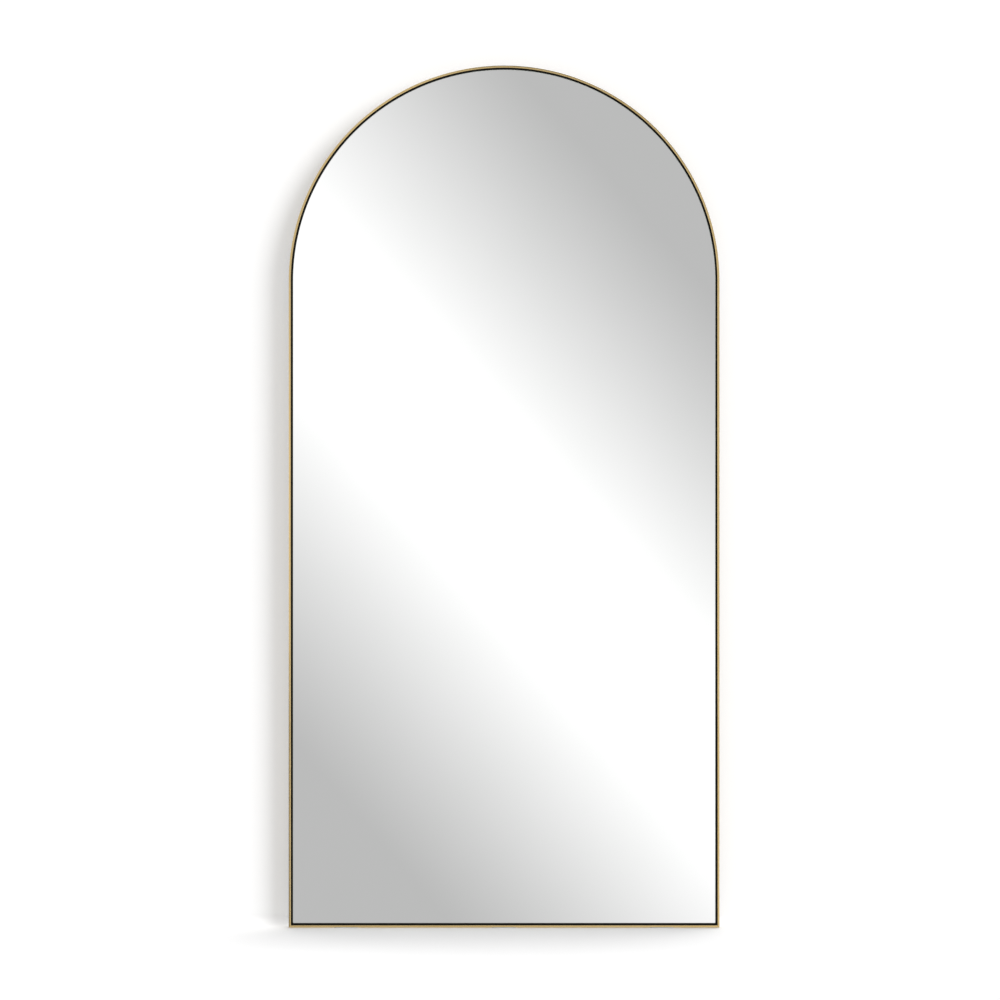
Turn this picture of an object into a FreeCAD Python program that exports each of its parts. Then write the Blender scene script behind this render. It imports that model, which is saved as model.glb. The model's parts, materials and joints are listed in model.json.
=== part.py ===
import FreeCAD, Part
import math
import os

# Leaning floor mirror: a thin metal frame with a square foot and a half-round head, and behind the
# glass the film, tape, board, plates, screws, hangers, bumpers and feet that hold it together.
# Millimetres. X runs to the right as seen from the front, Y back towards the wall, Z up.
# The origin is on the floor, under the middle of the whole mirror.
# Two words are used throughout: "inset" is a distance inwards from the frame's outer face, and
# "depth" is a distance backwards from the frame's front face.

# ---- Driving dimensions: the whole mirror ----
frame_width = 900.0
frame_height = 1800.0  # from the underside of the bottom rail to the crown of the arch

# ---- Frame section: a tall wall, a narrow nose at the front, a flange behind the board ----
wall_thickness = 2.0
nose_width = 4.5  # the gold face that shows from the front, wall included
nose_thickness = 2.5
flange_width = 14.0  # from the wall's inner face
flange_thickness = 2.0
skirt_depth = 5.5  # how far the wall runs on behind the flange
edge_round = 0.6
joint_gap = 0.15  # hairline left at each mitre and splice

# ---- Glass and what lies behind it ----
glass_recess = 2.0  # glass face behind the nose's front face
glass_thickness = 5.0
shadow_gap = 4.0  # dark line between the nose and the edge of the glass
glass_arris = 0.8
glass_corner_round = 2.0
film_thickness = 0.2
film_margin = 3.0  # bare glass left round the film
tape_thickness = 1.3
tape_width = 25.0
tape_count = 5
tape_side_margin = 130.0  # from the frame's side to the middle of the outer strips
tape_end_margin = 40.0
board_thickness = 9.0
board_clearance = 1.0  # lets the board pass the nose when it is dropped in from the front

# ---- Gasket ----
gasket_clearance = 0.1  # behind the nose
gasket_face_drop = 0.9  # visible face behind the back of the nose
gasket_lip_thickness = 1.9  # the lip that is caught behind the nose
gasket_lip_clearance = 0.3  # between the lip's tip and the wall
gasket_round = 0.3

# ---- Setting blocks under the board ----
block_length = 60.0
block_side_margin = 250.0  # from the frame's side to the middle of a block

# ---- Plates behind the flange ----
plate_thickness = 2.0
plate_margin = 1.0  # flange left bare on each side of a plate
plate_round = 2.0
corner_leg = 90.0  # measured from the frame's outer corner
corner_screw_first = 35.0
splice_reach = 60.0  # along the flange, each side of the springing
splice_screw_first = 15.0
plate_screw_end = 15.0  # from the end of a plate to its last screw

# ---- Frame screws ----
screw_diameter = 3.5
screw_head_diameter = 7.0
screw_head_height = 2.4
screw_tip_margin = 1.5  # board left in front of a screw's tip
screw_hole_clearance = 0.2  # all round, in metal
screw_bite_clearance = 0.05  # all round, in the board
recess_width = 0.9
recess_share = 0.62  # of the head's height and of its diameter
side_screw_count = 5
bottom_screw_count = 4
screw_run_gap = 90.0  # from the end of a plate to the nearest flange screw
head_screw_step = 27.0  # degrees between flange screws round the arch
head_screw_pairs = 2  # each side of the crown

# ---- Wall bumpers ----
bumper_proud = 3.0  # beyond the back of the frame
bumper_margin = 0.5  # between the bumper's foot and the flange's edges
bumper_taper = 1.0  # narrower at the wall, on the radius
bumper_gap = 25.0  # from the end of a corner plate to a bumper's centre
bumper_stem_length = 5.0  # through the flange and into the board

# ---- Feet ----
foot_proud = 1.5
foot_length = 50.0
foot_width = 22.0
foot_front_margin = 0.4  # the feet stand well forward, under the weight of the glass
foot_round = 5.0
foot_end_margin = 120.0  # from the frame's side to the middle of an end foot
foot_barb_height = 2.2
foot_barb_overhang = 1.0

# ---- Push-in stems of bumpers and feet ----
stem_diameter = 5.0
stem_clearance = 0.05  # all round

# ---- Hangers ----
hanger_spacing = 600.0
hanger_below_crown = 450.0  # from the crown of the arch to the axis of the ring
hanger_width = 16.0
hanger_thickness = 1.5
hanger_round = 4.0
hanger_end = 6.5  # plate beyond the last screw's centre
hanger_screw_gap = 3.0  # between the ring and the first screw's head
hanger_screw_spacing = 14.0
hanger_screw_diameter = 4.0
hanger_screw_head_diameter = 8.0
hanger_screw_head_height = 2.6
ring_wire = 3.5
ring_inner_width = 22.0
ring_bend = 4.0  # centreline radius of the two bends beside the eye
ring_straight = 6.0  # from the axis to where the round bow starts
ring_rest_clearance = 0.3  # over the hanger plate
eye_clearance = 0.1  # all round, between the ring's bar and its rolled eye

overcut = 1.0  # how far a cutting shape runs past what it cuts
tiny = 1e-6  # two places closer than this are the same place

# ---- Worked out from the dimensions above ----
half_width = frame_width / 2
foot_z = foot_proud  # underside of the bottom rail
spring_z = foot_z + frame_height - half_width  # where the side rails meet the arch
glass_inset = nose_width + shadow_gap
board_inset = nose_width + board_clearance
flange_reach = wall_thickness + flange_width
flange_line = wall_thickness + flange_width / 2  # every flange screw stands on this inset

glass_front = glass_recess
glass_back = glass_front + glass_thickness
film_back = glass_back + film_thickness
board_front = film_back + tape_thickness
board_back = board_front + board_thickness
flange_front = board_back
flange_back = flange_front + flange_thickness
plate_back = flange_back + plate_thickness
frame_depth = flange_back + skirt_depth
wall_depth = frame_depth + bumper_proud  # depth of the wall that the bumpers touch
front_y = -wall_depth / 2

ACROSS = FreeCAD.Vector(1, 0, 0)
BACKWARDS = FreeCAD.Vector(0, 1, 0)
UP = FreeCAD.Vector(0, 0, 1)
ORIGIN = FreeCAD.Vector(0, 0, 0)


def at(x, depth, z):
    """The point at that place across, depth behind the frame's front face, and height."""
    return FreeCAD.Vector(x, front_y + depth, z)


def left_and_right(shape):
    """A shape made on the left, and its mirror image on the right."""
    return shape, shape.mirror(ORIGIN, ACROSS)


def rounded_wire(corners, radii, place):
    """A closed wire through flat corners (a, b), each with its own radius. place(a, b) gives the point."""
    ends = []
    for i, radius in enumerate(radii):
        corner = FreeCAD.Vector(*corners[i], 0)
        back = (FreeCAD.Vector(*corners[i - 1], 0) - corner).normalize()
        ahead = (FreeCAD.Vector(*corners[(i + 1) % len(corners)], 0) - corner).normalize()
        half_angle = back.getAngle(ahead) / 2
        trim = radius / math.tan(half_angle)
        inwards = (back + ahead).normalize()
        middle = corner + inwards * (radius / math.sin(half_angle) - radius)
        ends.append((corner + back * trim, middle, corner + ahead * trim, radius))
    edges = []
    for i, (start, middle, end, radius) in enumerate(ends):
        a, b, c = (place(p.x, p.y) for p in (start, middle, end))
        if radius > 0:
            edges.append(Part.Arc(a, b, c).toShape())
        following = ends[(i + 1) % len(ends)][0]
        edges.append(Part.LineSegment(c, place(following.x, following.y)).toShape())
    return Part.Wire(edges)


def block(corners, front, back):
    """A prism between two depths, from its corners (x, z) seen from the front."""
    points = [at(x, front, z) for x, z in corners]
    return Part.Face(Part.makePolygon(points + points[:1])).extrude(BACKWARDS * (back - front))


def arch_plate(inset, front, back, corner_round=0.0):
    """A flat sheet with a square foot and a half-round head, that inset inside the frame's outer face."""
    half = half_width - inset
    low = foot_z + inset
    turn = corner_round * (1 - math.sqrt(0.5))
    edges = [
        Part.LineSegment(at(half, front, low + corner_round), at(half, front, spring_z)),
        Part.Arc(at(half, front, spring_z), at(0, front, spring_z + half), at(-half, front, spring_z)),
        Part.LineSegment(at(-half, front, spring_z), at(-half, front, low + corner_round)),
        Part.LineSegment(at(-half + corner_round, front, low), at(half - corner_round, front, low)),
    ]
    if corner_round > 0:
        for side in (-1, 1):
            edges.append(
                Part.Arc(
                    at(side * half, front, low + corner_round),
                    at(side * (half - turn), front, low + turn),
                    at(side * (half - corner_round), front, low),
                )
            )
    wire = Part.Wire(Part.__sortEdges__([edge.toShape() for edge in edges]))
    return Part.Face(wire).extrude(BACKWARDS * (back - front))


def drill(radius, x, z, front, back):
    """A round hole or peg along Y between two depths."""
    return Part.makeCylinder(radius, back - front, at(x, front, z), BACKWARDS)


# ---- Rails: one section, drawn once and carried along each side ----


def side_run(section):
    """A section carried up the left side, its foot cut to the mitre."""
    left = -half_width
    start = Part.Face(section(lambda inset, depth: at(left + inset, depth, foot_z)))
    bar = start.extrude(UP * (spring_z - foot_z))
    rise = joint_gap / math.sqrt(2)
    reach = flange_reach + overcut
    keep = [
        (left - overcut, foot_z - overcut + rise),
        (left + reach, foot_z + reach + rise),
        (left + reach, spring_z),
        (left - overcut, spring_z),
    ]
    return bar.common(block(keep, -overcut, frame_depth + overcut))


def bottom_run(section):
    """A section carried along the foot, mitred at both ends."""
    start = Part.Face(section(lambda inset, depth: at(-half_width, depth, foot_z + inset)))
    bar = start.extrude(ACROSS * frame_width)
    drop = joint_gap / math.sqrt(2)
    reach = flange_reach + overcut
    keep = [
        (-half_width - overcut, foot_z - overcut - drop),
        (half_width + overcut, foot_z - overcut - drop),
        (half_width - reach, foot_z + reach - drop),
        (-half_width + reach, foot_z + reach - drop),
    ]
    return bar.common(block(keep, -overcut, frame_depth + overcut))


def head_run(section):
    """A section carried round the half-round head."""
    start = Part.Face(section(lambda inset, depth: at(half_width - inset, depth, spring_z)))
    return start.revolve(at(0, 0, spring_z), BACKWARDS * -1, 180)


def rail_section(place):
    """The frame's section: wall, nose at the front, flange behind the board, skirt at the back."""
    corners = [
        (0, 0),
        (nose_width, 0),
        (nose_width, nose_thickness),
        (wall_thickness, nose_thickness),
        (wall_thickness, flange_front),
        (flange_reach, flange_front),
        (flange_reach, flange_back),
        (wall_thickness, flange_back),
        (wall_thickness, frame_depth),
        (0, frame_depth),
    ]
    radii = [edge_round, edge_round, 0, 0, 0, edge_round, edge_round, 0, edge_round, edge_round]
    return rounded_wire(corners, radii, place)


def gasket_section(place):
    """The gasket's section: a stem that fills the shadow gap, and a lip caught behind the nose."""
    lip_front = nose_thickness + gasket_clearance
    lip_tip = wall_thickness + gasket_lip_clearance
    face = nose_thickness + gasket_face_drop
    step = nose_width + (face - lip_front)
    corners = [
        (lip_tip, lip_front),
        (nose_width, lip_front),
        (step, face),
        (glass_inset, face),
        (glass_inset, board_front),
        (board_inset, board_front),
        (nose_width, lip_front + gasket_lip_thickness),
        (lip_tip, lip_front + gasket_lip_thickness),
    ]
    radii = [gasket_round, 0, 0, 0, 0, 0, 0, gasket_round]
    return rounded_wire(corners, radii, place)


# ---- Places along the flange ----


def arch_point(inset, degrees):
    """(x, z) of the point on the head at that inset, degrees to the right of the crown."""
    radius = half_width - inset
    angle = math.radians(degrees)
    return radius * math.sin(angle), spring_z + radius * math.cos(angle)


def evenly(first, last, count):
    """count places from first to last, evenly spaced."""
    return [first + (last - first) * i / (count - 1) for i in range(count)]


def splice_degrees(reach):
    """Degrees from the crown of a point on the flange line that far past the left springing."""
    return -90 + math.degrees(reach / (half_width - flange_line))


left_line = -half_width + flange_line
bottom_line = foot_z + flange_line

side_screw_heights = evenly(
    foot_z + corner_leg + screw_run_gap, spring_z - splice_reach - screw_run_gap, side_screw_count
)
bottom_screw_end = half_width - corner_leg - screw_run_gap
flange_screw_places = (
    [(side * left_line, z) for z in side_screw_heights for side in (1, -1)]
    + [(x, bottom_line) for x in evenly(-bottom_screw_end, bottom_screw_end, bottom_screw_count)]
    + [arch_point(flange_line, head_screw_step * i) for i in range(-head_screw_pairs, head_screw_pairs + 1)]
)

corner_screws_along = (corner_screw_first, corner_leg - plate_screw_end)
corner_screw_places_left = [(-half_width + along, bottom_line) for along in corner_screws_along]
corner_screw_places_left += [(left_line, foot_z + along) for along in corner_screws_along]

splice_screws_along = (splice_screw_first, splice_reach - plate_screw_end)
splice_screw_places_left = [(left_line, spring_z - along) for along in splice_screws_along]
splice_screw_places_left += [arch_point(flange_line, splice_degrees(along)) for along in splice_screws_along]


def both_sides(places):
    """Places on the left, and the same places mirrored to the right."""
    return places + [(-x, z) for x, z in places]


corner_screw_places = both_sides(corner_screw_places_left)
splice_screw_places = both_sides(splice_screw_places_left)
bumper_places = {
    "top_left_bumper": arch_point(flange_line, -head_screw_step / 2),
    "top_right_bumper": arch_point(flange_line, head_screw_step / 2),
    "bottom_left_bumper": (left_line, foot_z + corner_leg + bumper_gap),
    "bottom_right_bumper": (-left_line, foot_z + corner_leg + bumper_gap),
}
end_foot = half_width - foot_end_margin
foot_places = {"left_foot": -end_foot, "centre_foot": 0.0, "right_foot": end_foot}

ring_radius = ring_wire / 2
ring_half_width = ring_inner_width / 2 + ring_radius  # of the wire's centreline
ring_drop = ring_straight + ring_half_width + ring_radius  # from the axis to the bottom of the ring
ring_depth = board_back + hanger_thickness + ring_rest_clearance + ring_radius
ring_z = foot_z + frame_height - hanger_below_crown
hanger_screw_drops = [ring_drop + hanger_screw_gap + hanger_screw_head_diameter / 2]
hanger_screw_drops.append(hanger_screw_drops[0] + hanger_screw_spacing)
hanger_screw_places = [
    (side * hanger_spacing / 2, ring_z - drop) for side in (-1, 1) for drop in hanger_screw_drops
]


# ---- Screws ----


def pan_screw(x, z, seat, tip, diameter, head_diameter, head_height):
    """A pan-head screw with a cross recess: its head sits on the seat's depth, its point is at the tip's."""
    shank = diameter / 2
    head = head_diameter / 2
    top = seat + head_height
    shoulder = seat + head_height / 3
    corners = [at(0, tip, 0), at(shank, tip + diameter, 0), at(shank, seat, 0), at(head, seat, 0)]
    corners.append(at(head, shoulder, 0))
    dome_radius = (head**2 + (top - shoulder) ** 2) / (2 * (top - shoulder))
    dome_half_angle = math.asin(head / dome_radius) / 2
    dome_middle = at(
        dome_radius * math.sin(dome_half_angle), top - dome_radius * (1 - math.cos(dome_half_angle)), 0
    )
    edges = [Part.LineSegment(a, b).toShape() for a, b in zip(corners, corners[1:])]
    edges.append(Part.Arc(corners[-1], dome_middle, at(0, top, 0)).toShape())
    edges.append(Part.LineSegment(at(0, top, 0), corners[0]).toShape())
    body = Part.Face(Part.Wire(edges)).revolve(at(0, 0, 0), BACKWARDS, 360)
    recess_depth = head_height * recess_share
    reach = head_diameter * recess_share / 2
    floor = top - recess_depth
    for long_x, long_z in ((reach, recess_width / 2), (recess_width / 2, reach)):
        slot = [(-long_x, -long_z), (long_x, -long_z), (long_x, long_z), (-long_x, long_z)]
        body = body.cut(block(slot, floor, top + overcut))
    body.translate(FreeCAD.Vector(x, 0, z))
    return body


def frame_screws(places, seat):
    """The frame's screws at those places, each with its head on that depth and its point inside the board."""
    tip = board_front + screw_tip_margin
    sizes = (screw_diameter, screw_head_diameter, screw_head_height)
    return Part.makeCompound([pan_screw(x, z, seat, tip, *sizes) for x, z in places])


def drill_all(shape, places, radius, front, back):
    """The shape with a round hole at each place, between two depths."""
    return shape.cut(Part.makeCompound([drill(radius, x, z, front, back) for x, z in places]))


screw_hole = screw_diameter / 2 + screw_hole_clearance
screw_pilot = screw_diameter / 2 + screw_bite_clearance
stem_hole = stem_diameter / 2 + stem_clearance
bumper_stem_front = flange_back - bumper_stem_length
frame_screw_places = flange_screw_places + corner_screw_places + splice_screw_places


def drilled_rail(rail):
    """A rail with its screw holes and bumper holes; places that miss it cut nothing."""
    front, back = flange_front - overcut, flange_back + overcut
    rail = drill_all(rail, frame_screw_places, screw_hole, front, back)
    return drill_all(rail, bumper_places.values(), stem_hole, front, back)


nodes = {}

# ---- Frame ----

nodes["head_rail"] = drilled_rail(head_run(rail_section))

above_splice = block(
    [
        (-half_width - overcut, spring_z - joint_gap),
        (-half_width + flange_reach + overcut, spring_z - joint_gap),
        (-half_width + flange_reach + overcut, spring_z + overcut),
        (-half_width - overcut, spring_z + overcut),
    ],
    -overcut,
    frame_depth + overcut,
)
side_rail = drilled_rail(side_run(rail_section).cut(above_splice))
nodes["left_side_rail"], nodes["right_side_rail"] = left_and_right(side_rail)

foot_mid_depth = foot_front_margin + foot_width / 2
bottom_rail = drilled_rail(bottom_run(rail_section))
for x in foot_places.values():
    start = at(x, foot_mid_depth, foot_z - overcut)
    hole = Part.makeCylinder(stem_hole, wall_thickness + 2 * overcut, start, UP)
    bottom_rail = bottom_rail.cut(hole)
nodes["bottom_rail"] = bottom_rail

# ---- Plates that join the rails ----

plate_low = wall_thickness + plate_margin
plate_high = flange_reach - plate_margin
corner_plate_outline = rounded_wire(
    [
        (plate_low, plate_low),
        (corner_leg, plate_low),
        (corner_leg, plate_high),
        (plate_high, plate_high),
        (plate_high, corner_leg),
        (plate_low, corner_leg),
    ],
    [plate_round] * 6,
    lambda across, up: at(-half_width + across, flange_back, foot_z + up),
)
corner_plate = Part.Face(corner_plate_outline).extrude(BACKWARDS * plate_thickness)
corner_plate = drill_all(
    corner_plate, corner_screw_places_left, screw_hole, flange_back - overcut, plate_back + overcut
)
nodes["left_corner_plate"], nodes["right_corner_plate"] = left_and_right(corner_plate)


def splice_outline():
    """The splice plate seen from the front: a straight half below the left springing, a curved half above."""
    turned = splice_degrees(splice_reach)
    halfway = (turned - 90) / 2
    outer = at(-half_width + plate_low, flange_back, spring_z)
    inner = at(-half_width + plate_high, flange_back, spring_z)
    below = UP * splice_reach

    def on_arch(inset, degrees):
        x, z = arch_point(inset, degrees)
        return at(x, flange_back, z)

    return Part.Wire(
        [
            Part.LineSegment(outer - below, outer).toShape(),
            Part.Arc(outer, on_arch(plate_low, halfway), on_arch(plate_low, turned)).toShape(),
            Part.LineSegment(on_arch(plate_low, turned), on_arch(plate_high, turned)).toShape(),
            Part.Arc(on_arch(plate_high, turned), on_arch(plate_high, halfway), inner).toShape(),
            Part.LineSegment(inner, inner - below).toShape(),
            Part.LineSegment(inner - below, outer - below).toShape(),
        ]
    )


def through_edges(plate):
    """The edges that run straight through a flat plate from front to back."""
    straight = [edge for edge in plate.Edges if edge.Curve.TypeId == "Part::GeomLine"]
    return [edge for edge in straight if abs(edge.Vertexes[0].Y - edge.Vertexes[-1].Y) > tiny]


splice_plate = Part.Face(splice_outline()).extrude(BACKWARDS * plate_thickness)
splice_corners = [edge for edge in through_edges(splice_plate) if abs(edge.Vertexes[0].Z - spring_z) > tiny]
splice_plate = splice_plate.makeFillet(plate_round, splice_corners)
splice_plate = drill_all(
    splice_plate, splice_screw_places_left, screw_hole, flange_back - overcut, plate_back + overcut
)
nodes["left_splice_plate"], nodes["right_splice_plate"] = left_and_right(splice_plate)

# ---- Glass, film, tape ----

glass = arch_plate(glass_inset, glass_front, glass_back, glass_corner_round)
rims = [edge for edge in glass.Edges if abs(edge.Vertexes[0].Y - edge.Vertexes[-1].Y) < tiny]
nodes["mirror_glass"] = glass.makeChamfer(glass_arris, rims)

film_inset = glass_inset + film_margin
nodes["safety_film"] = arch_plate(film_inset, glass_back, film_back, glass_corner_round)

tape_low = foot_z + film_inset + tape_end_margin
tape_arch = half_width - film_inset - tape_end_margin
outer_tape = half_width - tape_side_margin
for i, middle in enumerate(evenly(-outer_tape, outer_tape, tape_count)):
    edge_x = abs(middle) + tape_width / 2
    tape_high = spring_z + math.sqrt(tape_arch**2 - edge_x**2)
    left, right = middle - tape_width / 2, middle + tape_width / 2
    nodes[f"tape_strip_{i + 1}"] = block(
        [(left, tape_low), (right, tape_low), (right, tape_high), (left, tape_high)], film_back, board_front
    )

# ---- Backing board with its pilot holes, and the blocks that carry it ----

board = arch_plate(board_inset, board_front, board_back)
pilot_front = board_front + screw_tip_margin - screw_bite_clearance
pilot_back = board_back + overcut
hanger_pilot = hanger_screw_diameter / 2 + screw_bite_clearance
board = drill_all(board, frame_screw_places, screw_pilot, pilot_front, pilot_back)
board = drill_all(board, hanger_screw_places, hanger_pilot, pilot_front, pilot_back)
board = drill_all(board, bumper_places.values(), stem_hole, bumper_stem_front - stem_clearance, pilot_back)
nodes["backing_board"] = board

block_low = foot_z + wall_thickness
block_high = foot_z + board_inset
for name, side in (("left_setting_block", -1), ("right_setting_block", 1)):
    middle = side * (half_width - block_side_margin)
    left, right = middle - block_length / 2, middle + block_length / 2
    corners = [(left, block_low), (right, block_low), (right, block_high), (left, block_high)]
    nodes[name] = block(corners, board_front, board_back)

# ---- Gasket ----

side_gasket_left, side_gasket_right = left_and_right(side_run(gasket_section))
nodes["arch_gasket"] = side_gasket_left.fuse([head_run(gasket_section), side_gasket_right]).removeSplitter()
nodes["bottom_gasket"] = bottom_run(gasket_section)

# ---- Screws ----

nodes["flange_screws"] = frame_screws(flange_screw_places, flange_back)
nodes["corner_plate_screws"] = frame_screws(corner_screw_places, plate_back)
nodes["splice_plate_screws"] = frame_screws(splice_screw_places, plate_back)
nodes["hanger_screws"] = Part.makeCompound(
    [
        pan_screw(
            x,
            z,
            board_back + hanger_thickness,
            board_front + screw_tip_margin,
            hanger_screw_diameter,
            hanger_screw_head_diameter,
            hanger_screw_head_height,
        )
        for x, z in hanger_screw_places
    ]
)

# ---- Hangers: a plate with a rolled eye, and the ring that swings in it ----


def hanger_plate(x):
    """The plate on the back of the board, its eye rolled round the ring's bar."""
    half = hanger_width / 2
    length = hanger_screw_drops[-1] + hanger_end
    outline = rounded_wire(
        [(-half, 0), (half, 0), (half, -length), (-half, -length)],
        [0, 0, hanger_round, hanger_round],
        lambda across, up: at(x + across, board_back, ring_z + up),
    )
    strip = Part.Face(outline).extrude(BACKWARDS * hanger_thickness)
    bore = ring_radius + eye_clearance
    start = at(x - half, ring_depth, ring_z)
    eye = Part.makeCylinder(bore + hanger_thickness, hanger_width, start, ACROSS)
    plate = strip.fuse(eye).removeSplitter()
    plate = plate.cut(Part.makeCylinder(bore, hanger_width, start, ACROSS))
    holes = [(x, ring_z - drop) for drop in hanger_screw_drops]
    radius = hanger_screw_diameter / 2 + screw_hole_clearance
    return drill_all(plate, holes, radius, board_back - overcut, board_back + hanger_thickness + overcut)


def hanger_ring(x):
    """A D-shaped ring of round wire, hanging from its straight bar. Half is swept, then mirrored."""
    bend = math.sqrt(0.5)

    def ring_point(across, up):
        return at(across, ring_depth, ring_z + up)

    bar_end = ring_half_width - ring_bend
    path = Part.Wire(
        [
            Part.LineSegment(ring_point(0, 0), ring_point(bar_end, 0)).toShape(),
            Part.Arc(
                ring_point(bar_end, 0),
                ring_point(bar_end + ring_bend * bend, ring_bend * (bend - 1)),
                ring_point(ring_half_width, -ring_bend),
            ).toShape(),
            Part.LineSegment(
                ring_point(ring_half_width, -ring_bend), ring_point(ring_half_width, -ring_straight)
            ).toShape(),
            Part.Arc(
                ring_point(ring_half_width, -ring_straight),
                ring_point(ring_half_width * bend, -ring_straight - ring_half_width * bend),
                ring_point(0, -ring_straight - ring_half_width),
            ).toShape(),
        ]
    )
    circle = Part.Wire(Part.makeCircle(ring_radius, ring_point(0, 0), ACROSS))
    right_half, left_half = left_and_right(path.makePipeShell([circle], True, False))
    ring = right_half.fuse(left_half).removeSplitter()
    ring.translate(FreeCAD.Vector(x, 0, 0))
    return ring


for name, side in (("left", -1), ("right", 1)):
    nodes[f"{name}_hanger_plate"] = hanger_plate(side * hanger_spacing / 2)
    nodes[f"{name}_hanger_ring"] = hanger_ring(side * hanger_spacing / 2)

# ---- Bumpers and feet ----

bumper_foot_radius = flange_width / 2 - bumper_margin
bumper_face_radius = bumper_foot_radius - bumper_taper
for name, (x, z) in bumper_places.items():
    body = Part.makeCone(
        bumper_foot_radius, bumper_face_radius, wall_depth - flange_back, at(x, flange_back, z), BACKWARDS
    )
    wall_rim = [edge for edge in body.Edges if edge.Closed and edge.CenterOfMass.y > front_y + frame_depth]
    body = body.makeFillet(edge_round, wall_rim)
    stem = drill(stem_diameter / 2, x, z, bumper_stem_front, flange_back)
    nodes[name] = body.fuse(stem).removeSplitter()

foot_top = foot_z + wall_thickness
for name, x in foot_places.items():
    half_length, half_foot = foot_length / 2, foot_width / 2
    corners = [(-half_length, -half_foot), (half_length, -half_foot)]
    corners += [(half_length, half_foot), (-half_length, half_foot)]
    outline = rounded_wire(
        corners, [foot_round] * 4, lambda across, back: at(x + across, foot_mid_depth + back, 0)
    )
    pad = Part.Face(outline).extrude(UP * foot_proud)
    stem = Part.makeCylinder(stem_diameter / 2, wall_thickness, at(x, foot_mid_depth, foot_z), UP)
    barb = Part.makeCone(
        stem_diameter / 2 + foot_barb_overhang,
        stem_diameter / 2,
        foot_barb_height,
        at(x, foot_mid_depth, foot_top + stem_clearance),
        UP,
    )
    neck = Part.makeCylinder(stem_diameter / 2, stem_clearance, at(x, foot_mid_depth, foot_top), UP)
    nodes[name] = pad.fuse([stem, neck, barb]).removeSplitter()

for name, shape in nodes.items():
    if not shape.isValid():
        raise ValueError(f"{name} is not a valid solid")
    shape.exportStep(f"parts/{name}.step")
    print(f"{name}: {len(shape.Solids)} solid(s), {shape.Volume / 1000:.2f} cm3")
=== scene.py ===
# %% [markdown]
# A leaning floor mirror: a thin brushed-gold frame with a square foot and a half-round head. The
# construction is already measured and loaded as a fixed frame of named nodes, and this lesson gives it
# its surfaces. Each piece is modelled in the place where its node lies, so nothing is fitted afterwards.
# The same could be done by hand in the viewport: every operator here has a menu entry there.

# %% Load the frame
import json
import math

import bmesh
import bpy
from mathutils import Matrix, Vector


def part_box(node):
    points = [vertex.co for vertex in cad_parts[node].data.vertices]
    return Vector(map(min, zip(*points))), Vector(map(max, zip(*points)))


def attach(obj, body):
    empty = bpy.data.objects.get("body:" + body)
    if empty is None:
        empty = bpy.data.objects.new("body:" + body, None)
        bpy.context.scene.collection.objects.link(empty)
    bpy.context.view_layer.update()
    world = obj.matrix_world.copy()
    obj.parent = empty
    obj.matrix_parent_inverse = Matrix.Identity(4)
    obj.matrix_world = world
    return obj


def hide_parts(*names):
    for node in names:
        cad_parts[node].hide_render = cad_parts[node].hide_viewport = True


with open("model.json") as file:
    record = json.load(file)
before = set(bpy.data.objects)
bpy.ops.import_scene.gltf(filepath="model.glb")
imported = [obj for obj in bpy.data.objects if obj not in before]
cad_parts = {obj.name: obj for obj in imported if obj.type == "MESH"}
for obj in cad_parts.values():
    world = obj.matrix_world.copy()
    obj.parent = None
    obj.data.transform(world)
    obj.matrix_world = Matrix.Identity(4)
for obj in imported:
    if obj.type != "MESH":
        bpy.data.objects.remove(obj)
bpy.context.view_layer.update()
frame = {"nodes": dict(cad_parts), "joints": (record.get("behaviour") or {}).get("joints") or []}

# %% [markdown]
# The few sizes that place everything are read from the nodes, so they follow the frame. The rest are the
# sizes of the real sections, in millimetres times mm. Two words are used throughout, as on a drawing:
# "inset" is the distance inwards from the frame's outer face, and "depth" the distance behind its front.

# %% Sizes
mm = 0.001

rail_low, rail_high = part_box("bottom_rail")
half_width = rail_high.x
foot_z = rail_low.z
front_y = rail_low.y
rail_depth = rail_high.y - rail_low.y
spring_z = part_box("head_rail")[0].z
wall_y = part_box("top_left_bumper")[1].y

wall = 2.0 * mm
nose_width = 4.5 * mm
nose_thickness = 2.5 * mm
flange_reach = 16.0 * mm
flange_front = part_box("backing_board")[1].y - front_y
flange_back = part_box("left_corner_plate")[0].y - front_y
edge_round = 0.6 * mm
front_round = 1.8 * mm
joint_gap = 0.15 * mm
print(f"frame {2 * half_width / mm:.0f} x {rail_depth / mm:.1f} mm, springing at {spring_z / mm:.1f}")


def at(x, depth, z):
    """The point at that place across, depth behind the frame's front face, and height."""
    return Vector((x, front_y + depth, z))


# %% [markdown]
# Working in code needs three small habits. An operator acts on everything that is selected, so each
# piece starts from an empty selection. A primitive is added at its size and place and its transform is
# applied, which leaves its origin at the frame's. And the next operator's faces or edges are picked by
# where they are, as a hand would click them.

# %% Helpers for modelling by hand, in code
def start(kind, name, middle, stretch=(1, 1, 1), turn=(0, 0, 0), **settings):
    """Adds a primitive with its place in its mesh, and opens it in edit mode."""
    if bpy.context.object is not None and bpy.context.object.mode != "OBJECT":
        bpy.ops.object.mode_set(mode="OBJECT")
    bpy.ops.object.select_all(action="DESELECT")
    getattr(bpy.ops.mesh, f"primitive_{kind}_add")(location=middle, rotation=turn, **settings)
    piece = bpy.context.object
    piece.scale = stretch
    piece.name = piece.data.name = name
    bpy.ops.object.transform_apply(location=True, rotation=True, scale=True)
    bpy.ops.object.mode_set(mode="EDIT")
    return piece


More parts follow.
